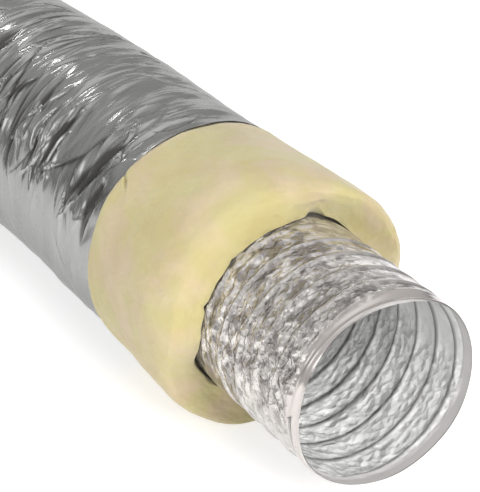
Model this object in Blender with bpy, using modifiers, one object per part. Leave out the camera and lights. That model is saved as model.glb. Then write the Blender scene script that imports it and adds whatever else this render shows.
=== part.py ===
"""Insulated flexible air duct, with its layers cut back in steps at the open end.

Metres, +Z up. +X runs along the straight front stretch, towards the open end. The origin is at the
middle of the duct's outline, on the surface that the duct lies on.

From the inside out the duct is an inner film, a spring-steel wire helix, an outer film, a glass wool
blanket and a jacket film. Behind the front stretch it is divided into sections at turns of the wire,
because a wire-and-film duct bends and shortens between its turns. Each gap between two sections is one
joint, and a loose bay of the jacket film bridges it.
"""

import math

import bpy
from mathutils import Matrix, Vector

NAME = "flexible_air_duct"

# Layers, as radii from the centre line
CORE_BORE_R = 0.0756
PLY_T = 0.0004
WIRE_R = 0.0008
JACKET_R = 0.1035
JACKET_T = 0.0005
CLEARANCE = 0.0003
WIRE_PATH_R = CORE_BORE_R + PLY_T + CLEARANCE + WIRE_R
OUTER_PLY_R = WIRE_PATH_R + WIRE_R + CLEARANCE + PLY_T
WOOL_BORE_R = OUTER_PLY_R + CLEARANCE
WOOL_R = JACKET_R - JACKET_T - CLEARANCE

# Lengths along the centre line, counted back from the core's front rim
PITCH = 0.025
DUCT_TURNS = 36.5
WOOL_FRONT = 0.130
JACKET_FRONT = 0.275
JACKET_CUFF_REAR = 0.350
CUFF_REAR = 0.3947
WIRE_INSET_TURNS = 0.25
WIRE_END_GAP = 0.0005

# Where the wool is free of the jacket it swells, and its cut end is thickest
WOOL_SHOULDER_R = 0.1060
WOOL_LIP_R = 0.1093
WOOL_SHOULDER_LENGTH = 0.008
WOOL_LIP_ROUND = 0.010
WOOL_MOUTH_FLARE = 0.0022
WOOL_MOUTH_LENGTH = 0.030

# Joints, front to back: the turn of wire that each stands at, its kind, and the duct's bend there at rest.
# The wire is parted on the joint's axis: at the top or bottom for a sideways bend, at a side for an
# up-and-down bend.
JOINTS = (
    (18.0, "sideways", 2.0),
    (20.25, "upright", 2.0),
    (22.5, "stretch", 1.5),
    (24.5, "sideways", 1.0),
    (26.75, "upright", 0.0),
    (29.0, "stretch", 0.0),
    (31.0, "sideways", 0.0),
    (33.25, "upright", 0.0),
)
GAP_LENGTH = {"sideways": 0.025, "upright": 0.025, "stretch": 0.030}

SIDES = 20
LIP_STEPS = 3
AXIS_HEIGHT = JACKET_R

COLOURS = {
    "inner_ply": ((0.62, 0.60, 0.57), 0.35, 0.6),
    "outer_ply": ((0.58, 0.53, 0.49), 0.30, 0.7),
    "helix_wire": ((0.45, 0.44, 0.43), 0.35, 1.0),
    "wool": ((0.65, 0.53, 0.32), 0.95, 0.0),
    "jacket": ((0.42, 0.42, 0.41), 0.30, 0.8),
}


def make_collection(name):
    collection = bpy.data.collections.new(name)
    bpy.context.scene.collection.children.link(collection)
    return collection


def make_material(name):
    colour, roughness, metallic = COLOURS[name]
    material = bpy.data.materials.new(name)
    material.use_nodes = True
    shader = material.node_tree.nodes["Principled BSDF"]
    shader.inputs["Base Color"].default_value = (*colour, 1.0)
    shader.inputs["Roughness"].default_value = roughness
    shader.inputs["Metallic"].default_value = metallic
    return material


def place(obj, collection, parent, material=None):
    collection.objects.link(obj)
    obj.parent = parent
    if material is not None:
        obj.data.materials.append(material)


def make_ring(name, profile, parent, kit, layer):
    """A closed profile of (radius, distance behind the parent), turned about the parent's Z axis."""
    mesh = bpy.data.meshes.new(name)
    corners = [(radius, 0.0, -back) for radius, back in profile]
    edges = [(i, (i + 1) % len(corners)) for i in range(len(corners))]
    mesh.from_pydata(corners, edges, [])
    ring = bpy.data.objects.new(name, mesh)
    place(ring, kit["parts"], parent, kit[layer])
    turn = ring.modifiers.new("turn", "SCREW")
    turn.axis = "Z"
    turn.steps = SIDES
    turn.render_steps = SIDES
    turn.use_merge_vertices = True
    turn.merge_threshold = 1e-5
    return ring


def tube_profile(radius, thickness, front, rear):
    """A straight tube's wall, from its outer front corner down its outer side."""
    inner = radius - thickness
    return [(radius, front), (radius, rear), (inner, rear), (inner, front)]


def wool_cuff_profile():
    """The blanket's front stretch: a rounded thick lip, a slow taper, and a waist where the jacket holds it."""
    lip = []
    for step in range(LIP_STEPS + 1):
        angle = 0.5 * math.pi * step / LIP_STEPS
        radius = WOOL_LIP_R - WOOL_LIP_ROUND * (1 - math.sin(angle))
        lip.append((radius, WOOL_FRONT + WOOL_LIP_ROUND * (1 - math.cos(angle))))
    shoulder = JACKET_FRONT - WOOL_SHOULDER_LENGTH
    outer = lip + [(WOOL_SHOULDER_R, shoulder), (WOOL_R, JACKET_FRONT - CLEARANCE), (WOOL_R, CUFF_REAR)]
    inner = [(WOOL_BORE_R, CUFF_REAR), (WOOL_BORE_R, WOOL_FRONT + WOOL_MOUTH_LENGTH)]
    return outer + inner + [(WOOL_BORE_R + WOOL_MOUTH_FLARE, WOOL_FRONT)]


def helix_point(turns, start_turns):
    """A point of the wire at a count of turns from the rim, in the frame of a section that starts there."""
    angle = 2 * math.pi * turns
    back = (turns - start_turns) * PITCH
    return Vector((WIRE_PATH_R * math.cos(angle), WIRE_PATH_R * math.sin(angle), -back))


def make_wire(name, start_turns, first, last, parent, kit):
    """The wire from one turn count to another; its two ends stop just short of its neighbours' ends."""
    first_step = round(first * SIDES)
    last_step = round(last * SIDES)
    points = [helix_point(step / SIDES, start_turns) for step in range(first_step, last_step + 1)]
    points[0] += (points[1] - points[0]).normalized() * WIRE_END_GAP
    points[-1] += (points[-2] - points[-1]).normalized() * WIRE_END_GAP

    curve = bpy.data.curves.new(name, "CURVE")
    curve.dimensions = "3D"
    curve.bevel_depth = WIRE_R
    curve.bevel_resolution = 1
    curve.use_fill_caps = True
    curve.render_resolution_u = 0
    spline = curve.splines.new("POLY")
    spline.points.add(len(points) - 1)
    for slot, point in zip(spline.points, points):
        slot.co = (*point, 1.0)
    wire = bpy.data.objects.new(name, curve)
    place(wire, kit["parts"], parent, kit["helix_wire"])
    return wire


def make_layers(prefix, front, rear, wool_front, jacket_front, parent, kit):
    """The four sleeves of one stretch of duct, from distances behind its frame."""
    bore_r = CORE_BORE_R + PLY_T
    make_ring(prefix + "inner_ply", tube_profile(bore_r, PLY_T, front, rear), parent, kit, "inner_ply")
    make_ring(prefix + "outer_ply", tube_profile(OUTER_PLY_R, PLY_T, front, rear), parent, kit, "outer_ply")
    wool = tube_profile(WOOL_R, WOOL_R - WOOL_BORE_R, wool_front, rear)
    make_ring(prefix + "wool", wool, parent, kit, "wool")
    make_ring(prefix + "jacket", tube_profile(JACKET_R, JACKET_T, jacket_front, rear), parent, kit, "jacket")


def make_bay(name, front, rear, parent, kit):
    """A loose bay of the jacket film between two of its rings."""
    profile = tube_profile(JACKET_R, JACKET_T, front + CLEARANCE, rear - CLEARANCE)
    make_ring(name, profile, parent, kit, "jacket")


def make_empty(name, parent, back, bend, kit):
    """A frame on the duct's centre line, with Z forward and X up, turned about X by the bend at rest."""
    empty = bpy.data.objects.new(name, None)
    empty.empty_display_size = 0.05
    place(empty, kit["parts"], parent)
    empty.location = (0.0, 0.0, -back)
    empty.rotation_euler = (math.radians(bend), 0.0, 0.0)
    return empty


def rim_position():
    """The front rim's centre, so that the origin is in the middle of the duct's outline."""
    point = Vector((0.0, 0.0))
    heading = 0.0
    turns = 0.0
    for joint_turns, _, bend in JOINTS + ((DUCT_TURNS, "end", 0.0),):
        length = (joint_turns - turns) * PITCH
        point -= length * Vector((math.cos(heading), math.sin(heading)))
        turns = joint_turns
        if turns < DUCT_TURNS:
            heading += math.radians(bend)
    rear_x = point.x - JACKET_R * math.sin(heading)
    right_y = point.y - JACKET_R * math.cos(heading)
    return Vector((-0.5 * rear_x, -0.5 * (right_y + WOOL_LIP_R), AXIS_HEIGHT))


def flatten_underside(wool, kit):
    """Cuts the swollen wool off level with the surface that it lies on."""
    size = 0.4
    bpy.ops.mesh.primitive_cube_add(size=size, location=(0.25, 0.0, -0.5 * size))
    cutter = bpy.context.object
    cutter.name = "surface_cutter"
    for owner in list(cutter.users_collection):
        owner.objects.unlink(cutter)
    kit["cutters"].objects.link(cutter)
    cutter.hide_render = True
    cutter.display_type = "WIRE"
    level = wool.modifiers.new("level", "BOOLEAN")
    level.operation = "DIFFERENCE"
    level.solver = "EXACT"
    level.object = cutter


def make_front(kit):
    """The straight front stretch: the bare core end, and the cuffs of wool and jacket that slide on it."""
    first_turns, kind, _ = JOINTS[0]
    rear = first_turns * PITCH - 0.5 * GAP_LENGTH[kind]
    root = make_empty("core_end_frame", None, 0.0, 0.0, kit)
    axes = Matrix(((0, 0, 1), (0, -1, 0), (1, 0, 0))).to_4x4()
    root.matrix_world = Matrix.Translation(rim_position()) @ axes
    make_layers("core_end_", 0.0, rear, CUFF_REAR + CLEARANCE, CUFF_REAR + CLEARANCE, root, kit)
    make_wire("core_end_wire", 0.0, WIRE_INSET_TURNS, first_turns, root, kit)

    wool_frame = make_empty("insulation_cuff_frame", root, 0.0, 0.0, kit)
    wool = make_ring("insulation_cuff", wool_cuff_profile(), wool_frame, kit, "wool")
    flatten_underside(wool, kit)

    jacket_frame = make_empty("jacket_cuff_frame", root, 0.0, 0.0, kit)
    cuff = tube_profile(JACKET_R, JACKET_T, JACKET_FRONT, JACKET_CUFF_REAR)
    make_ring("jacket_cuff", cuff, jacket_frame, kit, "jacket")
    make_bay("jacket_cuff_bay", JACKET_CUFF_REAR, CUFF_REAR + CLEARANCE, root, kit)
    return root


def make_sections(root, kit):
    """The jointed stretch behind the front, each section hung on the one before it."""
    parent = root
    previous_turns = 0.0
    for index, (turns, kind, bend) in enumerate(JOINTS):
        number = index + 1
        is_last = number == len(JOINTS)
        end_turns = DUCT_TURNS if is_last else JOINTS[number][0]
        rear_gap = 0.0 if is_last else 0.5 * GAP_LENGTH[JOINTS[number][1]]
        front = 0.5 * GAP_LENGTH[kind]
        rear = (end_turns - turns) * PITCH - rear_gap
        frame = make_empty(f"section_{number}_frame", parent, (turns - previous_turns) * PITCH, bend, kit)
        prefix = f"section_{number}_"
        make_layers(prefix, front, rear, front, front, frame, kit)
        wire_end = end_turns - WIRE_INSET_TURNS if is_last else end_turns
        make_wire(prefix + "wire", turns, turns, wire_end, frame, kit)
        gap_middle = (turns - previous_turns) * PITCH
        bent_side = JACKET_R * math.sin(math.radians(bend))
        make_bay(f"jacket_bay_{number}", gap_middle - front, gap_middle + front - bent_side, parent, kit)
        parent = frame
        previous_turns = turns


def main():
    for obj in list(bpy.data.objects):
        bpy.data.objects.remove(obj, do_unlink=True)
    kit = {layer: make_material(layer) for layer in COLOURS}
    kit["parts"] = make_collection(NAME)
    kit["cutters"] = make_collection("cutters")
    make_sections(make_front(kit), kit)


main()
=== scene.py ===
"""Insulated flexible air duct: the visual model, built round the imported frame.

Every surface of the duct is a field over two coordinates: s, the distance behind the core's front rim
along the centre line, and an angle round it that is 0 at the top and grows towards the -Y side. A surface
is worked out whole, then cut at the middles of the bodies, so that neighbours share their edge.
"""

import math

import bpy
import numpy as np
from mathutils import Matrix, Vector


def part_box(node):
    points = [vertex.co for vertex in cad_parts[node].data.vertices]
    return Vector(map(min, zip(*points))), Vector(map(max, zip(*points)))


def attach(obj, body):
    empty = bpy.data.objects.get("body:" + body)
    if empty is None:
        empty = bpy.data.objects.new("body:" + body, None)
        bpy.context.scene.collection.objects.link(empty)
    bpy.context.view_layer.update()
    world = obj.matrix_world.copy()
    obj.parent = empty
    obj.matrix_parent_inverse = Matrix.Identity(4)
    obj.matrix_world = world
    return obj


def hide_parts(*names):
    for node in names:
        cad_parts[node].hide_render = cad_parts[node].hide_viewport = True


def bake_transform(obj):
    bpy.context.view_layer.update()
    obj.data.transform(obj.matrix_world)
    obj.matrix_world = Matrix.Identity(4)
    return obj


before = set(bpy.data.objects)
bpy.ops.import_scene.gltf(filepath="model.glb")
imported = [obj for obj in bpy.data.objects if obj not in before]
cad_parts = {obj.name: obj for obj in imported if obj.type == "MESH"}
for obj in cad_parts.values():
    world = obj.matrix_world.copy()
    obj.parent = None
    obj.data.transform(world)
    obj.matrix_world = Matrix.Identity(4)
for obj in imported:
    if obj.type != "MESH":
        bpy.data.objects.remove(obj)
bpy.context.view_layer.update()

TAU = 2 * math.pi

# Radii and lengths of the duct, metres
PITCH = 0.025
WIRE_R = 0.0008
WIRE_PATH_R = 0.0771
FILM_T = 0.00015
JACKET_R = 0.1035
WOOL_NECK_R = 0.0998
HIDDEN_WOOL_R = 0.0985
WOOL_SHOULDER_R = 0.1058
WOOL_LIP_R = 0.1096
WOOL_LIP_ROUND = 0.0075
MOUTH_ROUND = 0.0007
WOOL_BORE_R = 0.0790
HEM = 0.0115
FLOOR_GAP = 0.0003

# Points round the duct in each kind of mesh
JACKET_COLUMNS = 480
OUTER_FILM_COLUMNS = 480
INNER_FILM_COLUMNS = 384
WOOL_COLUMNS = 400
WOOL_REAR_COLUMNS = 360
HIDDEN_COLUMNS = 120

# Bodies along the duct, front to back
BODIES = ["core_end"] + [f"section_{n}" for n in range(1, 9)]
# Behind this body the rear body is named first: the other way round, rounding opens a seam at full bend
REAR_BODY_FIRST = "section_3"


# ---------------------------------------------------------------- the duct's centre line


def ring_frame(node):
    """Centre, backward direction and half length of a ring of the frame."""
    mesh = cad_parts[node].data
    co = np.empty(len(mesh.vertices) * 3, np.float32)
    mesh.vertices.foreach_get("co", co)
    co = np.unique(np.round(co.reshape(-1, 3).astype(float), 5), axis=0)
    centre = co.mean(axis=0)
    axis = np.linalg.eigh(np.cov((co - centre).T))[1][:, 0]
    axis = -axis if axis[0] > 0 else axis
    return centre, axis, float(np.abs((co - centre) @ axis).max())


class DuctLine:
    """A smooth curve through the middle of the front rim and of each body's ring."""

    def __init__(self):
        low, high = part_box("core_end_outer_ply")
        points = [np.array([high.x, (low.y + high.y) / 2, (low.z + high.z) / 2])]
        directions = [np.array([-1.0, 0.0, 0.0])]
        half = 0.0
        for body in BODIES:
            centre, axis, half = ring_frame(body + "_jacket")
            points.append(centre)
            directions.append(axis)
        points.append(points[-1] + half * directions[-1])
        directions.append(directions[-1])
        self.points = np.array(points)
        self.directions = np.array(directions)
        steps = np.linalg.norm(np.diff(self.points, axis=0), axis=1)
        self.s = np.concatenate([[0.0], np.cumsum(steps)])

    def at(self, s):
        """Centre points and backward directions at distances s, which may run a little past both ends."""
        s = np.atleast_1d(np.asarray(s, float))
        i = np.clip(np.searchsorted(self.s, s, side="right") - 1, 0, len(self.s) - 2)
        length = self.s[i + 1] - self.s[i]
        raw = (s - self.s[i]) / length
        t = np.clip(raw, 0, 1)[:, None]
        a, b = self.points[i], self.points[i + 1]
        da, db = self.directions[i] * length[:, None], self.directions[i + 1] * length[:, None]
        centre = (2 * t**3 - 3 * t**2 + 1) * a + (t**3 - 2 * t**2 + t) * da
        centre += (3 * t**2 - 2 * t**3) * b + (t**3 - t**2) * db
        along = (6 * t**2 - 6 * t) * (a - b) + (3 * t**2 - 4 * t + 1) * da + (3 * t**2 - 2 * t) * db
        along /= np.linalg.norm(along, axis=1, keepdims=True)
        past = ((raw - t[:, 0]) * length)[:, None]
        return centre + past * along, along

    def surface(self, s, angle, radius):
        """World points for arrays of distance, angle and radius."""
        shape = np.shape(s)
        centre, along = self.at(np.ravel(s))
        up = np.array([0.0, 0.0, 1.0])
        side = np.cross(up, along)
        angle, radius = np.ravel(angle)[:, None], np.ravel(radius)[:, None]
        points = centre + radius * (np.cos(angle) * up + np.sin(angle) * side)
        return points.reshape(*shape, 3)


line = DuctLine()
MIDDLES = line.s[1:-1]
END = line.s[-1]
RIM_X = line.points[0][0]
WOOL_FRONT = RIM_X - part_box("insulation_cuff")[1].x
JACKET_FRONT = RIM_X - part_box("jacket_cuff")[1].x
# The outer film is in fine detail as far as this, a little way into the wool
BARE_END = WOOL_FRONT + 0.03


# ---------------------------------------------------------------- fields


def ease(t):
    """From 0 to 1 as t goes from 0 to 1, level at both ends."""
    t = np.clip(t, 0, 1)
    return t * t * (3 - 2 * t)


def turn_gap(angle, centre):
    """The signed angle from centre, from -pi to pi."""
    return (angle - centre + math.pi) % TAU - math.pi


def lobe(angle, centre, width, soft):
    """1 within width of centre round the duct, falling to 0 over soft; all in degrees."""
    gap = np.degrees(np.abs(turn_gap(angle, math.radians(centre))))
    return 1 - ease((gap - width) / soft)


LATTICE_ROWS = 512


def lattice(u, v, columns, rng, facets):
    """Random heights, -1 to 1, on a lattice: u repeats after very many rows and v goes once round."""
    table = rng.uniform(-1, 1, (LATTICE_ROWS, columns))
    flips = rng.random((LATTICE_ROWS, columns)) < 0.5
    iu = np.floor(u).astype(int)
    iv = np.floor(v).astype(int)
    fu, fv = u - iu, v - iv
    iu = iu % LATTICE_ROWS
    ahead = (iu + 1) % LATTICE_ROWS
    a, b = iv % columns, (iv + 1) % columns
    h00, h01 = table[iu, a], table[iu, b]
    h10, h11 = table[ahead, a], table[ahead, b]
    if not facets:
        fu, fv = fu * fu * (3 - 2 * fu), fv * fv * (3 - 2 * fv)
        return (h00 * (1 - fu) + h10 * fu) * (1 - fv) + (h01 * (1 - fu) + h11 * fu) * fv
    rising = np.where(
        fu > fv,
        h00 + (h10 - h00) * fu + (h11 - h10) * fv,
        h00 + (h11 - h01) * fu + (h01 - h00) * fv,
    )
    falling = np.where(
        fu + fv < 1,
        h00 + (h10 - h00) * fu + (h01 - h00) * fv,
        h11 + (h01 - h11) * (1 - fu) + (h10 - h11) * (1 - fv),
    )
    return np.where(flips[iu, a], rising, falling)


def waves(s, angle, cell, around, rng):
    """Soft lumps, cell metres long and so many round the duct."""
    return lattice(s / cell, angle / TAU * around, around, rng, False)


def crumple(s, angle, cell, around, rng, warp=0.45):
    """Flat facets with sharp creases, as crumpled foil has, on a lattice pulled out of true."""
    u = s / cell + warp * waves(s, angle, cell * 1.7, max(3, int(around / 1.7)), rng)
    v = angle / TAU * around + warp * waves(s, angle, cell * 1.6, max(3, int(around / 1.6)), rng)
    return lattice(u, v, around, rng, True)


def helix_gap(s, angle):
    """The distance along the duct to the nearest turn of the wire."""
    return ((s / PITCH - wire_turn(angle) + 0.5) % 1 - 0.5) * PITCH


def wire_turn(angle):
    """The share of a turn at which the wire passes an angle."""
    return angle / TAU


# ---------------------------------------------------------------- meshes


def unit(vectors):
    return vectors / np.maximum(np.linalg.norm(vectors, axis=-1, keepdims=True), 1e-12)


def whole_normals(grid, outward):
    """Unit normals of a grid that is closed round the duct, on its outer or inner side."""
    down = np.gradient(grid, axis=0)
    across = (np.roll(grid, -1, axis=1) - np.roll(grid, 1, axis=1)) / 2
    normals = unit(np.cross(down, across))
    return normals if outward else -normals


def make_mesh(name, points, faces, material, normals=None, lay=None):
    """An object with a mesh, its own smooth normals, and where each point lies on the straightened duct."""
    mesh = bpy.data.meshes.new(name)
    mesh.vertices.add(len(points))
    mesh.vertices.foreach_set("co", np.asarray(points, np.float32).ravel())
    faces = np.asarray(faces, np.int32)
    mesh.loops.add(faces.size)
    mesh.loops.foreach_set("vertex_index", faces.ravel())
    mesh.polygons.add(len(faces))
    mesh.polygons.foreach_set("loop_start", np.arange(0, faces.size, faces.shape[1], dtype=np.int32))
    mesh.update(calc_edges=True)
    mesh.validate()
    if lay is not None:
        rest = mesh.attributes.new("lay", "FLOAT_VECTOR", "POINT")
        rest.data.foreach_set("vector", np.asarray(lay, np.float32).ravel())
    if normals is not None:
        mesh.normals_split_custom_set_from_vertices(np.asarray(normals, np.float32).tolist())
    mesh.materials.append(material)
    obj = bpy.data.objects.new(name, mesh)
    bpy.context.scene.collection.objects.link(obj)
    return obj


def strip_faces(rows, columns, first=0, flip=False):
    """Quads between rows of points that close round the duct."""
    j = np.arange(columns)
    k = (j + 1) % columns
    i = np.arange(rows - 1)[:, None] * columns + first
    quads = np.stack([i + j, i + columns + j, i + columns + k, i + k], axis=-1).reshape(-1, 4)
    return quads[:, ::-1] if flip else quads


def lay_of(s, angle, radius):
    """Coordinates on the straightened duct, for the materials' patterns."""
    return np.stack([s, radius * np.cos(angle), radius * np.sin(angle)], axis=-1)


class Skin:
    """A film surface over the whole duct or a stretch of it, cut into pieces at given rows.

    Its shades are numbers from 0 to 1 stored on the mesh, which the film's material reads; some mark where
    shade is painted.
    """

    def __init__(self, s, angle, radius, flat_radius, crush, outward=True):
        self.s, self.flat_radius, self.outward = s, flat_radius, outward
        self.grid = line.surface(s, angle, radius)
        self.grid[..., 2] = np.maximum(self.grid[..., 2], FLOOR_GAP)
        self.normals = whole_normals(self.grid, outward)
        self.lay = lay_of(s, angle, radius)
        rng = np.random.default_rng(5)
        width = 0.0021 + 0.0015 * waves(s, angle, 0.04, 7, rng)
        self.shades = {
            # the band along the wire: partly the wire showing through the film, partly painted shade
            "wire": np.exp(-np.abs(helix_gap(s, angle) / width) ** 3),
            "crush": crush(s, angle),
        }

    def shell(self, name, first, last, slot, rests_on):
        """Rows first to last as a closed film: the seen side, and a far side set back along its normals."""
        cut = slice(first, last + 1)
        seen, normals = self.grid[cut], self.normals[cut]
        rows, columns = seen.shape[:2]
        far = seen - normals * FILM_T
        half = rows * columns
        end = (rows - 1) * columns
        j = np.arange(columns)
        k = (j + 1) % columns
        faces = np.concatenate(
            [
                strip_faces(rows, columns),
                strip_faces(rows, columns, half, flip=True),
                np.stack([half + j, half + k, k, j], axis=-1),
                np.stack([end + k, end + j, half + end + j, half + end + k], axis=-1)[:, ::-1],
            ]
        )
        if not self.outward:
            faces = faces[:, ::-1]
        points = np.concatenate([seen.reshape(-1, 3), far.reshape(-1, 3)])
        both = np.concatenate([normals.reshape(-1, 3), -normals.reshape(-1, 3)])
        lay = np.tile(self.lay[cut].reshape(-1, 3), (2, 1))
        piece = make_mesh(name, points, faces, MATERIALS[slot], both, lay)
        for attribute, shade in self.shades.items():
            stored = piece.data.attributes.new(attribute, "FLOAT", "POINT")
            stored.data.foreach_set("value", np.tile(shade[cut].ravel(), 2).astype(np.float32))
        return piece


def rows_between(stops, spacings):
    """Row positions that pass exactly through each stop, and the row number of each stop."""
    rows, marks = [stops[0]], [0]
    for start, stop, spacing in zip(stops, stops[1:], spacings):
        count = max(1, round((stop - start) / spacing))
        rows.extend(np.linspace(start, stop, count + 1)[1:])
        marks.append(len(rows) - 1)
    return np.array(rows), marks


def spread(rows, columns):
    angle = np.arange(columns) / columns * TAU
    return np.meshgrid(rows, angle, indexing="ij")


def centre_point(s):
    return tuple(line.at(s)[0][0])


def join_bodies(piece, index):
    """Bakes a piece's transform into its mesh; the middles of body index and the one behind it are found
    but not used.
    """
    front, rear = (BODIES[index], MIDDLES[index]), (BODIES[index + 1], MIDDLES[index + 1])
    if BODIES[index] == REAR_BODY_FIRST:
        front, rear = rear, front
    centre_point(front[1])
    centre_point(rear[1])
    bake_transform(piece)


# ---------------------------------------------------------------- materials


class Nodes:
    """A small helper to wire a node tree."""

    def __init__(self, name):
        self.material = bpy.data.materials.new(name)
        self.material.use_nodes = True
        self.tree = self.material.node_tree
        self.shader = self.tree.nodes["Principled BSDF"]
        self.lay = self.add("ShaderNodeAttribute", attribute_name="lay").outputs["Vector"]

    def add(self, kind, **settings):
        node = self.tree.nodes.new(kind)
        for key, value in settings.items():
            setattr(node, key, value)
        return node

    def link(self, out, into):
        self.tree.links.new(out, into)

    def stretch(self, along, around):
        """The duct's own coordinates, scaled along its length and across it."""
        node = self.add("ShaderNodeVectorMath", operation="MULTIPLY")
        self.link(self.lay, node.inputs[0])
        node.inputs[1].default_value = (along, around, around)
        return node.outputs[0]

    def noise(self, vector, scale, detail=3.0, rough=0.5, distortion=0.0):
        node = self.add("ShaderNodeTexNoise")
        self.link(vector, node.inputs["Vector"])
        node.inputs["Scale"].default_value = scale
        node.inputs["Detail"].default_value = detail
        node.inputs["Roughness"].default_value = rough
        node.inputs["Distortion"].default_value = distortion
        return node.outputs["Fac"]

    def warped(self, vector, scale, distance):
        """A vector pulled about by noise, so that a pattern on it loses its regularity."""
        noise = self.add("ShaderNodeTexNoise")
        self.link(vector, noise.inputs["Vector"])
        noise.inputs["Scale"].default_value = scale
        scaled = self.add("ShaderNodeVectorMath", operation="MULTIPLY_ADD")
        self.link(noise.outputs["Color"], scaled.inputs[0])
        scaled.inputs[1].default_value = (distance, distance, distance)
        self.link(vector, scaled.inputs[2])
        return scaled.outputs[0]

    def cells(self, vector, scale):
        node = self.add("ShaderNodeTexVoronoi")
        self.link(vector, node.inputs["Vector"])
        node.inputs["Scale"].default_value = scale
        return node.outputs["Distance"]

    def ramp(self, value, stops):
        node = self.add("ShaderNodeValToRGB")
        self.link(value, node.inputs["Fac"])
        elements = node.color_ramp.elements
        while len(elements) < len(stops):
            elements.new(0.5)
        for element, (position, colour) in zip(elements, stops):
            element.position = position
            element.color = (*colour, 1.0)
        return node.outputs["Color"]

    def spread(self, value, low, high):
        node = self.add("ShaderNodeMapRange")
        self.link(value, node.inputs["Value"])
        node.inputs["To Min"].default_value = low
        node.inputs["To Max"].default_value = high
        return node.outputs["Result"]

    def near_rim(self, start, full):
        """A share that grows towards the rim, from 0 at one distance behind it to 1 at another."""
        split = self.add("ShaderNodeSeparateXYZ")
        self.link(self.lay, split.inputs[0])
        node = self.add("ShaderNodeMapRange")
        self.link(split.outputs["X"], node.inputs["Value"])
        node.inputs["From Min"].default_value = start
        node.inputs["From Max"].default_value = full
        return node.outputs["Result"]

    def stored(self, attribute):
        """A number stored on the mesh."""
        return self.add("ShaderNodeAttribute", attribute_name=attribute).outputs["Fac"]

    def scaled(self, value, attribute):
        """A value times a number stored on the mesh."""
        node = self.add("ShaderNodeMath", operation="MULTIPLY")
        self.link(value, node.inputs[0])
        self.link(self.stored(attribute), node.inputs[1])
        return node.outputs[0]

    def mix(self, factor, a, b):
        """Goes from colour a to b, which is another node's colour or a plain one."""
        node = self.add("ShaderNodeMix", data_type="RGBA")
        self.link(factor, node.inputs["Factor"])
        self.link(a, node.inputs["A"])
        if isinstance(b, tuple):
            node.inputs["B"].default_value = (*b, 1.0)
        else:
            self.link(b, node.inputs["B"])
        return node.outputs["Result"]

    def bump(self, heights):
        """A chain of bumps from (height, strength, distance in metres)."""
        normal = None
        for height, strength, distance in heights:
            node = self.add("ShaderNodeBump")
            node.inputs["Strength"].default_value = strength
            node.inputs["Distance"].default_value = distance
            self.link(height, node.inputs["Height"])
            if normal is not None:
                self.link(normal, node.inputs["Normal"])
            normal = node.outputs["Normal"]
        self.link(normal, self.shader.inputs["Normal"])


def jacket_film():
    """Metallised film, silver grey, with fine wrinkles round the duct and painted shade in its deep folds.
    """
    m = Nodes("jacket_film")
    fine = m.noise(m.stretch(1.0, 0.22), 420, 4, 0.6, 0.6)
    broad = m.noise(m.stretch(1.0, 0.5), 38, 3)
    silver = m.ramp(broad, [(0.3, (0.36, 0.36, 0.352)), (0.7, (0.41, 0.41, 0.402))])
    # painted shade: the film's colour is darkened where the relief lies deep inside a fold
    painted_shade_in_folds = (0.13, 0.127, 0.12)
    m.link(m.mix(m.stored("painted_fold_shade"), silver, painted_shade_in_folds), m.shader.inputs["Base Color"])
    m.link(m.spread(fine, 0.2, 0.32), m.shader.inputs["Roughness"])
    m.shader.inputs["Metallic"].default_value = 0.92
    m.shader.inputs["Specular Tint"].default_value = (0.6, 0.6, 0.6, 1)
    creases = m.scaled(m.noise(m.stretch(1.0, 0.25), 150, 2, 0.5, 1.2), "crush")
    m.bump([(creases, 0.25, 0.0012), (fine, 0.08, 0.0003)])
    return m.material


def core_film(name, dark, light, rim_painted_shade, metallic, wire_and_painted_shade, hem_shade):
    """Thin laminated film, creased; painted shade towards the rim; the wire shows through, with painted
    shade.
    """
    m = Nodes(name)
    broad = m.noise(m.stretch(1.0, 1.0), 75, 4, 0.6, 0.5)
    film = m.ramp(broad, [(0.42, dark), (0.58, light)])
    # painted shade: a darker copy of the film's colour, mixed in towards the rim
    rim_shaded_film = m.ramp(broad, [(0.42, dark), (0.58, rim_painted_shade)])
    # painted shade: the film's colour darkens from 85 mm behind the rim to 12 mm behind it
    shaded_near_rim = m.mix(m.near_rim(0.085, 0.012), film, rim_shaded_film)
    # painted shade: the band along the wire, partly the wire showing through the film
    painted_wire_band = m.mix(m.stored("wire"), shaded_near_rim, wire_and_painted_shade)
    hemmed = m.mix(m.near_rim(HEM + 0.001, HEM), painted_wire_band, hem_shade)
    m.link(hemmed, m.shader.inputs["Base Color"])
    fine = m.noise(m.stretch(1.0, 1.0), 520, 4, 0.6, 0.5)
    m.link(m.spread(fine, 0.10, 0.20), m.shader.inputs["Roughness"])
    m.shader.inputs["Metallic"].default_value = metallic
    warped = m.warped(m.stretch(1.0, 0.8), 90, 0.006)
    creases = m.scaled(m.cells(warped, 150), "crush")
    small = m.scaled(m.cells(warped, 360), "crush")
    m.bump([(creases, 1.0, 0.0030), (small, 0.6, 0.0011), (fine, 0.1, 0.0003)])
    return m.material


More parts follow.
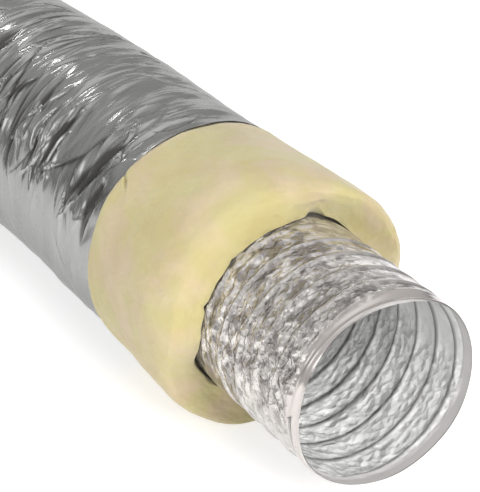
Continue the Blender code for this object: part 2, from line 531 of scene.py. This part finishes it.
def glass_wool():
    """Pale yellow glass wool, mottled with beige, with a matted fibrous surface."""
    m = Nodes("glass_wool")
    patches = m.noise(m.stretch(1.0, 1.0), 24, 4, 0.55, 0.5)
    blush = m.noise(m.stretch(1.0, 1.0), 21, 3, 0.5, 0.6)
    yellow = m.ramp(patches, [(0.34, (0.375, 0.313, 0.132)), (0.66, (0.41, 0.362, 0.175))])
    beige = m.ramp(patches, [(0.34, (0.395, 0.31, 0.178)), (0.66, (0.442, 0.353, 0.222))])
    tint = m.ramp(blush, [(0.42, (0, 0, 0)), (0.62, (1, 1, 1))])
    m.link(m.mix(tint, yellow, beige), m.shader.inputs["Base Color"])
    m.shader.inputs["Roughness"].default_value = 0.95
    m.shader.inputs["Sheen Weight"].default_value = 0.25
    m.shader.inputs["Sheen Roughness"].default_value = 0.6
    strands = m.noise(m.stretch(0.35, 1.0), 900, 4, 0.65, 1.5)
    lumps = m.noise(m.stretch(1.0, 1.0), 170, 4, 0.6, 0.4)
    m.bump([(lumps, 0.5, 0.0016), (strands, 0.5, 0.0006)])
    return m.material


def steel_wire():
    m = Nodes("steel_wire")
    drawn = m.noise(m.stretch(1.0, 1.0), 700, 3)
    steel = m.ramp(drawn, [(0.3, (0.34, 0.33, 0.32)), (0.7, (0.45, 0.44, 0.43))])
    m.link(steel, m.shader.inputs["Base Color"])
    m.link(m.spread(drawn, 0.3, 0.45), m.shader.inputs["Roughness"])
    m.shader.inputs["Metallic"].default_value = 1.0
    m.bump([(drawn, 0.2, 0.0002)])
    return m.material


MATERIALS = {
    "jacket": jacket_film(),
    "outer_ply": core_film(
        name="outer_core_film",
        dark=(0.29, 0.268, 0.257),
        light=(0.67, 0.64, 0.62),
        # painted shade near the rim
        rim_painted_shade=(0.56, 0.535, 0.515),
        metallic=0.72,
        # the band along the wire, partly the wire showing through and partly painted shade
        wire_and_painted_shade=(0.50, 0.475, 0.455),
        hem_shade=(0.505, 0.47, 0.45),
    ),
    "inner_ply": core_film(
        name="inner_core_film",
        dark=(0.78, 0.78, 0.77),
        light=(1.0, 1.0, 0.99),
        # painted shade near the rim
        rim_painted_shade=(0.60, 0.60, 0.59),
        metallic=0.3,
        # painted shade: the dark band along the wire, partly the wire showing through the film
        wire_and_painted_shade=(0.17, 0.17, 0.165),
        hem_shade=(0.51, 0.495, 0.485),
    ),
    "wool": glass_wool(),
    "helix_wire": steel_wire(),
}


# ---------------------------------------------------------------- jacket


def jacket_crush(s, angle):
    """How crushed the jacket is: most on the upper -Y side, least on the far side and underneath."""
    return np.full_like(s, 0.16) + 0.84 * lobe(angle, 26, 44, 18)


def pleats(s, angle, rng, count, middle, scatter, half_angles, widths, heights):
    """Long folds that run round the duct and taper to a point, each with one steep side."""
    relief = np.zeros_like(s)
    for _ in range(count):
        s0 = rng.uniform(JACKET_FRONT - 0.01, END + 0.01)
        centre = math.radians(rng.normal(middle, scatter))
        half_angle = rng.uniform(*half_angles)
        width = rng.uniform(*widths)
        height = rng.uniform(*heights) * rng.choice((1, 1, -1))
        steep = rng.uniform(1.3, 2.6) ** rng.choice((1, -1))
        slant = rng.normal(0.004, 0.009)
        curl = rng.normal(0, 0.006)
        near = np.abs(s[:, 0] - s0) < 0.05
        if not near.any():
            continue
        t = turn_gap(angle[near], centre) / half_angle
        inside = np.clip(1 - t * t, 0, 1)
        path = s0 + slant * t + curl * t * t
        lean = (s[near] - path) / (width * (0.35 + 0.65 * inside))
        lean = np.where(lean > 0, lean * steep, lean / steep)
        relief[near] += height * np.exp(-np.abs(lean) ** 1.15) * inside**0.8
    return relief


def jacket_relief(s, angle):
    rng = np.random.default_rng(11)
    busy = jacket_crush(s, angle)
    slanted = s + 0.018 * turn_gap(angle, math.radians(20))
    relief = 0.0012 * waves(s, angle, 0.07, 5, rng)
    relief += busy * pleats(s, angle, rng, 170, 30, 45, (0.25, 0.8), (0.0016, 0.0040), (0.0008, 0.0022))
    relief += busy * pleats(s, angle, rng, 90, 52, 16, (0.16, 0.42), (0.0026, 0.0060), (0.0022, 0.0042))
    # deep lens-shaped folds where the crushed side gives way to the smooth one
    lenses = pleats(s, angle, rng, 50, 60, 9, (0.19, 0.38), (0.0024, 0.0046), (0.0034, 0.0056))
    relief -= busy * np.abs(lenses)
    relief += pleats(s, angle, rng, 60, -140, 60, (0.3, 0.9), (0.0020, 0.0050), (0.0004, 0.0012))
    relief += busy * 0.0016 * crumple(slanted, angle, 0.0125, 9, rng)
    relief += busy * 0.0006 * crumple(slanted, angle, 0.0050, 20, rng)
    return 0.0012 + 0.0036 * np.tanh((relief - 0.0008) / 0.0038)


def make_jacket():
    cuff_end = JACKET_FRONT + 0.012
    halfway = (cuff_end + MIDDLES[0]) / 2
    stops = [JACKET_FRONT, cuff_end, halfway, *MIDDLES, END]
    rows, marks = rows_between(stops, [0.0011] * 7 + [0.0016] * 10)
    s, angle = spread(rows, JACKET_COLUMNS)
    relief = jacket_relief(s, angle)
    radius = JACKET_R + relief
    # the cut edge wanders, stands a little off the wool above and grips it below
    edge = np.exp(-(s - JACKET_FRONT) / 0.006)
    rng = np.random.default_rng(12)
    edge_radius = JACKET_R + 0.0020 + 0.0006 * waves(s, angle, 0.05, 14, rng)
    edge_radius -= 0.0024 * lobe(angle, 125, 55, 40)
    radius = radius * (1 - edge) + edge * edge_radius
    # at the rear the cut edge lies close round the wool
    rear_edge = np.exp(-(END - s) / 0.008)
    radius = radius * (1 - rear_edge) + rear_edge * (HIDDEN_WOOL_R + 0.0040)
    wander = 0.0018 * waves(s * 0, angle, 0.05, 9, rng) + 0.0008 * waves(s * 0, angle, 0.05, 31, rng)
    wander -= 0.0045 * lobe(angle, 38, 16, 40)
    skin = Skin(s + wander * edge, angle, radius, JACKET_R, jacket_crush)
    # painted shade: how deep inside a fold each point lies, from 0 to 1; the jacket's colour darkens with
    # it
    skin.shades["painted_fold_shade"] = ease((-0.0008 - relief) / 0.0010) * (1 - edge)

    front = skin.shell("jacket_cuff_edge", marks[0], marks[1], "jacket", "wool_cuff")
    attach(front, "jacket_cuff")
    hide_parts("jacket_cuff")
    start, end = centre_point(cuff_end), centre_point(MIDDLES[0])
    for n, node in ((1, "jacket_cuff_bay"), (2, "core_end_jacket")):
        piece = skin.shell(f"jacket_cuff_sleeve_{n}", marks[n], marks[n + 1], "jacket", "wool_cuff")
        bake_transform(piece)
        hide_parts(node)
    for n in range(1, 9):
        piece = skin.shell(f"jacket_sleeve_{n}", marks[n + 2], marks[n + 3], "jacket", f"wool_{n}")
        join_bodies(piece, n - 1)
        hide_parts(f"jacket_bay_{n}", f"section_{n}_jacket")
    rear = skin.shell("jacket_sleeve_rear", marks[11], marks[12], "jacket", "wool_rear")
    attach(rear, BODIES[-1])


# ---------------------------------------------------------------- core

# The outer film's radius stays under this, clear of the wool
FILM_LIMIT_R = WOOL_BORE_R - 0.0003


def film_crush(s, angle):
    """How crumpled the core's film is: smooth in the hem, most crumpled on the upper -Y side."""
    round_duct = 0.08 + 0.92 * lobe(angle, 52, 36, 28) + 0.75 * lobe(angle, -160, 50, 30)
    return round_duct * ease((s - 0.6 * HEM) / (0.5 * HEM))


def film_middle(s, angle):
    """The laminated film's own surface: taut over the wire, slack and crumpled between its turns."""
    rng = np.random.default_rng(21)
    arch = np.abs(np.sin(math.pi * helix_gap(s, angle) / PITCH)) ** 0.7
    patchy = 0.40 + 0.60 * ease(0.5 + 1.3 * waves(s, angle, 0.024, 12, rng))
    relief = 0.0024 * crumple(s, angle, 0.0110, 38, rng) + 0.0015 * crumple(s, angle, 0.0056, 82, rng)
    slack = 0.0004 + 0.0005 * waves(s, angle, 0.03, 9, rng)
    dented = slack + film_crush(s, angle) * patchy * relief
    return WIRE_PATH_R - 0.0006 + arch * 0.0020 * np.tanh(dented / 0.0020) + 0.0006 * hem(s, angle)


def wool_grip(s):
    """How far the film swells to fill the wool's mouth, from 0 to 1."""
    return np.exp(-(((s - WOOL_FRONT - 0.004) / 0.012) ** 2))


def hem(s, angle):
    """The film is folded back on itself at the rim, which leaves a smooth band with a ridge behind it."""
    wander = 0.0012 * waves(s * 0, angle, 0.05, 6, np.random.default_rng(24))
    return np.exp(-(((s - HEM - wander) / 0.0012) ** 2))


def rim_lean(s, angle):
    """The film's free edge, in front of the wire, leans inwards and is a little out of round."""
    rng = np.random.default_rng(22)
    free = np.exp(-((s / (0.8 * HEM)) ** 2))
    lean = 0.0004 + 0.0034 * lobe(angle, 35, 40, 50)
    return free * (0.0008 * waves(s * 0, angle, 0.05, 7, rng) - lean)


def make_core_films():
    make_outer_film_front()
    make_outer_film_run()
    make_inner_film()


def make_outer_film_front():
    """The outer film where it is bare and just inside the wool, in fine detail."""
    rows, marks = rows_between([0.0, 0.5 * WOOL_FRONT, BARE_END], [0.0010] * 2)
    s, angle = spread(rows, OUTER_FILM_COLUMNS)
    rng = np.random.default_rng(23)
    edge_shift = 0.0010 * waves(s * 0, angle, 0.05, 11, rng) * np.exp(-s / 0.004)
    ridge = 0.0016 * np.exp(-((helix_gap(s, angle) / 0.0022) ** 2))
    radius = film_middle(s, angle) + 0.0003 + rim_lean(s, angle) + ridge
    radius += 0.9 * wool_grip(s) * (FILM_LIMIT_R - radius)
    radius = np.minimum(radius, FILM_LIMIT_R)
    skin = Skin(s + edge_shift, angle, radius, WIRE_PATH_R, film_crush)
    for n, name in enumerate(("outer_film_rim", "outer_film_bare")):
        piece = skin.shell(name, marks[n], marks[n + 1], "outer_ply", "wire_front")
        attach(piece, "core_end")
    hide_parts("core_end_outer_ply")


def make_outer_film_run():
    """The outer film under the wool, which hides it."""
    rows, marks = rows_between([BARE_END, *MIDDLES, END], [0.003] * 10)
    s, angle = spread(rows, HIDDEN_COLUMNS)
    ridge = 0.0010 * np.exp(-((helix_gap(s, angle) / 0.0020) ** 2))
    radius = np.minimum(film_middle(s, angle) + 0.0003 + ridge, FILM_LIMIT_R)
    skin = Skin(s, angle, radius, WIRE_PATH_R, film_crush)
    front = skin.shell("outer_film_front", marks[0], marks[1], "outer_ply", "wire_front")
    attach(front, "core_end")
    make_run("outer_film", skin, marks[1:], "outer_ply")


def make_inner_film():
    """The smooth inner film, seen through the open ends; the wire stands out of it, and its dark lines are
    partly painted shade.
    """
    stops = [0.0, 0.10, 0.21, *MIDDLES, END]
    rows, marks = rows_between(stops, [0.0012, 0.0016, 0.0024] + [0.0025] * 9)
    s, angle = spread(rows, INNER_FILM_COLUMNS)
    ridge = 0.0013 * np.exp(-((helix_gap(s, angle) / 0.0018) ** 2))
    radius = film_middle(s, angle) - 0.0003 + rim_lean(s, angle) - ridge
    skin = Skin(s, angle, radius, WIRE_PATH_R, film_crush, outward=False)
    for n in range(3):
        piece = skin.shell(f"inner_film_front_{n + 1}", marks[n], marks[n + 1], "inner_ply", "wire_front")
        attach(piece, "core_end")
    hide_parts("core_end_inner_ply")
    make_run("inner_film", skin, marks[3:], "inner_ply")


def make_run(name, skin, marks, slot):
    """A skin's pieces over each joint, and its rear piece."""
    for n in range(1, 9):
        piece = skin.shell(f"{name}_{n}", marks[n - 1], marks[n], slot, f"wire_{n}")
        join_bodies(piece, n - 1)
        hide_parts(f"section_{n}_{slot}")
    rear = skin.shell(f"{name}_rear", marks[8], marks[9], slot, "wire_rear")
    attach(rear, BODIES[-1])


WIRE_SIDES = 8
WIRE_STEPS = 64


def wire_tube(name, start, stop):
    """A stretch of the spring-steel helix between the two films, as a closed tube."""
    count = round((stop - start) / PITCH * WIRE_STEPS)
    s = np.linspace(start, stop, count)
    angle = s / PITCH * TAU
    path = line.surface(s, angle, np.full(count, WIRE_PATH_R))
    ahead = unit(np.gradient(path, axis=0))
    out = unit(path - line.at(s)[0])
    across = np.cross(ahead, out)
    ring = np.arange(WIRE_SIDES)[None, :, None] / WIRE_SIDES * TAU
    tube = path[:, None] + WIRE_R * (np.cos(ring) * out[:, None] + np.sin(ring) * across[:, None])
    quads = strip_faces(count, WIRE_SIDES, flip=True)
    tip = list(range(WIRE_SIDES))
    tail = list(range((count - 1) * WIRE_SIDES, count * WIRE_SIDES))[::-1]
    mesh = bpy.data.meshes.new(name)
    mesh.from_pydata(tube.reshape(-1, 3).tolist(), [], [*quads.tolist(), tip, tail])
    mesh.shade_smooth()
    lay = lay_of(np.repeat(s, WIRE_SIDES), np.repeat(angle, WIRE_SIDES), WIRE_PATH_R)
    rest = mesh.attributes.new("lay", "FLOAT_VECTOR", "POINT")
    rest.data.foreach_set("vector", lay.astype(np.float32).ravel())
    mesh.materials.append(MATERIALS["helix_wire"])
    piece = bpy.data.objects.new(name, mesh)
    bpy.context.scene.collection.objects.link(piece)
    return piece


def make_wire():
    front = wire_tube("wire_front", 0.25 * PITCH, MIDDLES[0])
    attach(front, "core_end")
    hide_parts("core_end_wire")
    for n in range(1, 9):
        piece = wire_tube(f"wire_{n}", MIDDLES[n - 1], MIDDLES[n])
        join_bodies(piece, n - 1)
        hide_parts(f"section_{n}_wire")
    rear = wire_tube("wire_rear", MIDDLES[8], END - 0.25 * PITCH)
    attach(rear, BODIES[-1])


# ---------------------------------------------------------------- wool


def wool_cuff_rows():
    """The cuff's section as rows of (distance, radius, how much of each lump it takes), round its lip."""
    rear = MIDDLES[0] + 0.004
    rows = [(s, WOOL_NECK_R, 0.15) for s in np.linspace(rear, JACKET_FRONT + 0.006, 12)]
    # outside, swelling from the neck under the jacket to the shoulder and on to the lip
    start, stop = JACKET_FRONT + 0.005, WOOL_FRONT + WOOL_LIP_ROUND
    for out in np.linspace(0, 1, 84):
        radius = WOOL_NECK_R + (WOOL_SHOULDER_R - WOOL_NECK_R) * ease(out / 0.09)
        radius += (WOOL_LIP_R - WOOL_SHOULDER_R) * ease((out - 0.05) / 0.95)
        rows.append((start + (stop - start) * out, radius, 1.0))
    for a in np.linspace(0, math.pi / 2, 15)[1:]:
        back = WOOL_LIP_ROUND * (1 - math.sin(a))
        rows.append((WOOL_FRONT + back, WOOL_LIP_R - WOOL_LIP_ROUND * (1 - math.cos(a)), 1.0))
    # the end face, down to the mouth round the core
    face_top, mouth = WOOL_LIP_R - WOOL_LIP_ROUND, WOOL_BORE_R + MOUTH_ROUND
    for radius in np.linspace(face_top, mouth, 12)[1:]:
        dish = 0.0006 * math.sin((radius - mouth) / (face_top - mouth) * math.pi)
        rows.append((WOOL_FRONT + dish, radius, 1.0))
    for a in np.linspace(0, math.pi / 2, 9)[1:]:
        back = MOUTH_ROUND * (1 - math.cos(a))
        rows.append((WOOL_FRONT + back, mouth - MOUTH_ROUND * math.sin(a), 0.9))
    bore = np.linspace(WOOL_FRONT + MOUTH_ROUND, WOOL_FRONT + 0.05, 22)
    rows += [(s, WOOL_BORE_R, 0.4) for s in bore[1:]]
    rows.append((rear, WOOL_BORE_R, 0.1))
    return np.array(rows)


SEAM_ANGLE = -19
# gaps between the wool's mouth and the core: angle, half width (degrees) and depth (metres)
GAPS = (
    (SEAM_ANGLE, 8, 0.0110),
    (-32, 14, 0.0016),
    (40, 3, 0.0022),
    (70, 3, 0.0026),
    (112, 14, 0.0042),
    (132, 10, 0.0030),
)


def cut_back(angle):
    """How much further back the wool's end is cut: at its lip, and at its mouth round the core."""
    below = 0.021 * lobe(angle, 152, 30, 36)
    lip = below + 0.012 * lobe(angle, -122, 22, 34)
    mouth = below + 0.010 * lobe(angle, -75, 50, 30)
    return lip, mouth


def rounded_over(angle, radius):
    """How far the end curves back from its mouth to its lip: a wide soft roll on the upper -Y side."""
    out = np.clip((radius - WOOL_BORE_R) / (WOOL_LIP_R - WOOL_BORE_R), 0, 1)
    return 0.019 * lobe(angle, 48, 52, 38) * (1 - np.sqrt(1 - 0.97 * out * out))


def make_wool_cuff():
    rows = wool_cuff_rows()
    s, angle = spread(rows[:, 0], WOOL_COLUMNS)
    radius = np.repeat(rows[:, 1:2], WOOL_COLUMNS, axis=1)
    share = np.repeat(rows[:, 2:3], WOOL_COLUMNS, axis=1)
    rng = np.random.default_rng(31)
    lip, mouth = cut_back(angle)
    outwards = ease((radius - WOOL_BORE_R) / (WOOL_LIP_R - WOOL_BORE_R - 0.003))
    cut = mouth + (lip - mouth) * outwards + rounded_over(angle, radius)
    s = s + cut * ease((JACKET_FRONT - s) / (JACKET_FRONT - WOOL_FRONT - 0.03))
    lumps = 0.0009 * waves(s, angle, 0.045, 14, rng) + 0.0005 * waves(s, angle, 0.016, 40, rng)
    lumps += 0.0002 * waves(s, angle, 0.005, 130, rng)
    outer = ease((radius - 0.088) / 0.010)
    radius = radius + share * lumps * outer
    nick_path = math.radians(44) - (s - 0.263) * 6
    nick = np.exp(-(((s - 0.263) / 0.006) ** 2) - ((turn_gap(angle, nick_path) / 0.012) ** 2))
    radius = radius - 0.0040 * nick * outwards
    droop = 0.0034 * lobe(angle, 40, 50, 40) * ease(1 - (s - WOOL_FRONT - cut) / 0.034) ** 2
    radius = radius - droop * outwards
    # the end face is torn rather than cut clean
    from_face = s - WOOL_FRONT - cut
    at_face = np.exp(-((from_face / 0.006) ** 2))
    s = s + at_face * torn_face(angle, radius, rng)
    # the mouth stands off the core in places, most at the lengthwise seam
    inside = 1 - ease((radius - WOOL_BORE_R) / 0.020)
    reach = np.exp(-np.clip(from_face, 0, None) / 0.0022)
    for centre, width, depth in GAPS:
        wedge = np.clip(1 - np.abs(np.degrees(turn_gap(angle, math.radians(centre)))) / width, 0, 1)
        radius = radius + depth * wedge * inside * reach
    piece = make_wool("wool_cuff", s[::-1], angle, radius[::-1])
    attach(piece, "insulation_cuff")
    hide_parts("insulation_cuff")


def make_wool(name, s, angle, radius):
    """A closed length of blanket from rows that run round its section."""
    grid = line.surface(s, angle, radius)
    grid[..., 2] = np.maximum(grid[..., 2], FLOOR_GAP)
    down = np.roll(grid, -1, axis=0) - np.roll(grid, 1, axis=0)
    across = np.roll(grid, -1, axis=1) - np.roll(grid, 1, axis=1)
    normals = unit(np.cross(down, across))
    rows, columns = s.shape
    j = np.arange(columns)
    k = (j + 1) % columns
    last = (rows - 1) * columns
    closing = np.stack([last + j, j, k, last + k], axis=-1)
    faces = np.concatenate([strip_faces(rows, columns), closing])
    lay = lay_of(s, angle, radius).reshape(-1, 3)
    piece = make_mesh(name, grid.reshape(-1, 3), faces, MATERIALS["wool"], normals.reshape(-1, 3), lay)
    return piece


def wool_tube(name, front, rear):
    """A stretch of blanket under the jacket."""
    rows = [(s, HIDDEN_WOOL_R) for s in np.linspace(front, rear, 8)]
    rows += [(s, WOOL_BORE_R) for s in np.linspace(rear, front, 5)]
    rows = np.array(rows)
    s, angle = spread(rows[:, 0], HIDDEN_COLUMNS)
    radius = np.repeat(rows[:, 1:], HIDDEN_COLUMNS, axis=1)
    return make_wool(name, s, angle, radius)


def wool_rear(front, rear):
    """The last of the blanket, swelling to fill the jacket at the duct's end, with a torn face."""
    corner = 0.006
    rows = [(s, HIDDEN_WOOL_R) for s in np.linspace(front, rear - corner, 8)]
    for step in range(1, 7):
        a = 0.5 * math.pi * step / 6
        rows.append((rear - corner * (1 - math.sin(a)), HIDDEN_WOOL_R - corner * (1 - math.cos(a))))
    rows += [(rear, r) for r in np.linspace(HIDDEN_WOOL_R - corner, WOOL_BORE_R + 0.001, 12)[1:]]
    rows += [(s, WOOL_BORE_R) for s in np.linspace(rear, front, 5)]
    rows = np.array(rows)
    s, angle = spread(rows[:, 0], WOOL_REAR_COLUMNS)
    radius = np.repeat(rows[:, 1:], WOOL_REAR_COLUMNS, axis=1)
    rng = np.random.default_rng(32)
    outer = ease((radius - 0.088) / 0.008)
    radius = radius + 0.0022 * ease((s - front) / (rear - front)) * outer
    radius = radius + 0.0005 * waves(s, angle, 0.03, 12, rng) * outer
    at_face = ease((s - rear + 0.008) / 0.008)
    s = s - at_face * torn_face(angle, radius, rng)
    return make_wool("wool_rear", s, angle, radius)


def torn_face(angle, radius, rng):
    """How far the torn end of the blanket is set back."""
    coarse = 0.0012 * waves(radius * 2.5, angle, 0.02, 26, rng)
    return np.abs(coarse + 0.0006 * waves(radius * 4, angle, 0.008, 90, rng))


def make_wool_run():
    front = wool_tube("wool_core_end", MIDDLES[0] + 0.0045, MIDDLES[0] + 0.012)
    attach(front, "core_end")
    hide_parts("core_end_wool")
    for n in range(1, 9):
        start = MIDDLES[n - 1] + (0.0125 if n == 1 else 0.0)
        piece = wool_tube(f"wool_{n}", start, MIDDLES[n])
        join_bodies(piece, n - 1)
        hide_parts(f"section_{n}_wool")
    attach(wool_rear(MIDDLES[8], END - 0.0008), BODIES[-1])


# ---------------------------------------------------------------- camera, floor and light

VIEW_ELEVATION = math.radians(27.7)
VIEW_TURN = math.radians(30.1)
VIEW_DISTANCE = 1.388
AIM_LEFT = 0.1046
AIM_UP = 0.1053
LENS = 141.0


def make_camera():
    """Looks at a point beside and above the front rim's centre, from in front and the -Y side."""
    back = Vector(
        (
            math.cos(VIEW_ELEVATION) * math.cos(VIEW_TURN),
            -math.cos(VIEW_ELEVATION) * math.sin(VIEW_TURN),
            math.sin(VIEW_ELEVATION),
        )
    )
    right = Vector((0, 0, 1)).cross(back).normalized()
    up = back.cross(right)
    data = bpy.data.cameras.new("camera")
    data.lens = LENS
    data.sensor_width = 36.0
    camera = bpy.data.objects.new("camera", data)
    bpy.context.scene.collection.objects.link(camera)
    camera.location = Vector(line.points[0]) - AIM_LEFT * right + AIM_UP * up + VIEW_DISTANCE * back
    camera.rotation_mode = "QUATERNION"
    camera.rotation_quaternion = (-back).to_track_quat("-Z", "Y")
    bpy.context.scene.camera = camera


def pale_material(name, grey, glow):
    material = bpy.data.materials.new(name)
    material.use_nodes = True
    shader = material.node_tree.nodes["Principled BSDF"]
    shader.inputs["Base Color"].default_value = (grey, grey, grey, 1)
    shader.inputs["Emission Color"].default_value = (1, 1, 1, 1)
    shader.inputs["Emission Strength"].default_value = glow
    shader.inputs["Roughness"].default_value = 0.9
    shader.inputs["Specular IOR Level"].default_value = 0.1
    return material


def make_floor():
    """A pale floor, and a white wall far round it that only the camera sees."""
    bpy.ops.mesh.primitive_plane_add(size=30, location=(0, 0, 0))
    floor = bpy.context.object
    floor.name = "floor"
    floor.data.materials.append(pale_material("pale_floor", 0.6, 0.60))
    bpy.ops.mesh.primitive_cylinder_add(
        vertices=96, radius=12, depth=16, end_fill_type="NOTHING", location=(0, 0, 8)
    )
    wall = bpy.context.object
    wall.name = "backdrop"
    wall.data.materials.append(pale_material("white_backdrop", 0.0, 1.0))
    wall.visible_diffuse = wall.visible_glossy = wall.visible_shadow = False


def add_area(name, location, target, size, power, mirrored):
    """A soft lamp; one that is not mirrored lights the duct but leaves no patch on its films."""
    data = bpy.data.lights.new(name, "AREA")
    data.shape = "RECTANGLE"
    data.size, data.size_y = size
    data.energy = power
    lamp = bpy.data.objects.new(name, data)
    bpy.context.scene.collection.objects.link(lamp)
    lamp.location = location
    lamp.rotation_mode = "QUATERNION"
    lamp.rotation_quaternion = (Vector(target) - Vector(location)).to_track_quat("-Z", "Y")
    lamp.visible_glossy = mirrored
    lamp.visible_camera = False


def make_world():
    """A grey studio, darkest near the horizon and in front of the duct."""
    world = bpy.data.worlds.new("studio")
    bpy.context.scene.world = world
    world.use_nodes = True
    tree = world.node_tree
    direction = tree.nodes.new("ShaderNodeTexCoord").outputs["Generated"]
    height = tree.nodes.new("ShaderNodeSeparateXYZ")
    ramp = tree.nodes.new("ShaderNodeValToRGB")
    tree.links.new(direction, height.inputs[0])
    tree.links.new(height.outputs["Z"], ramp.inputs["Fac"])
    elements = ramp.color_ramp.elements
    elements[0].position, elements[0].color = 0.05, (0.10, 0.098, 0.095, 1)
    elements[1].position, elements[1].color = 0.97, (1.1, 1.1, 1.1, 1)
    for height_above, grey in ((0.18, 0.30), (0.32, 0.45), (0.78, 0.50)):
        elements.new(height_above).color = (grey, grey, grey * 0.99, 1)
    in_front = tree.nodes.new("ShaderNodeMapRange")
    in_front.inputs["From Min"].default_value = 0.05
    in_front.inputs["From Max"].default_value = 0.6
    in_front.inputs["To Min"].default_value = 1.0
    in_front.inputs["To Max"].default_value = 0.7
    tree.links.new(height.outputs["X"], in_front.inputs["Value"])
    shade = tree.nodes.new("ShaderNodeVectorMath")
    shade.operation = "SCALE"
    tree.links.new(ramp.outputs["Color"], shade.inputs[0])
    tree.links.new(in_front.outputs["Result"], shade.inputs["Scale"])
    tree.links.new(shade.outputs["Vector"], tree.nodes["Background"].inputs["Color"])
    tree.nodes["Background"].inputs["Strength"].default_value = 1.0


def make_lights():
    make_world()
    add_area("overhead", (0.2, 0.0, 3.0), (0.2, 0, 0), (3.0, 3.0), 22, False)
    add_area("front_fill", (1.9, 0.0, 1.1), (0.4, 0, 0.1), (0.9, 0.9), 42, False)
    add_area("low_fill", (1.1, -1.9, 0.4), (0.2, 0, 0.1), (1.2, 0.8), 17, False)
    add_area("side_panel", (0.2, -2.0, 1.2), (0.2, 0, 0.1), (1.0, 0.7), 4.2, True)
    add_area("far_panel", (-2.2, 1.3, 0.55), (0, 0, 0.15), (2.0, 0.9), 6.0, True)
    add_area("rear_strip", (-0.66, 0.03, 0.44), (-0.3, 0.0, 0.2), (0.09, 0.035), 0.28, True)


make_jacket()
make_core_films()
make_wire()
make_wool_cuff()
make_wool_run()
make_camera()
make_floor()
make_lights()
bpy.context.scene.view_settings.view_transform = "Standard"
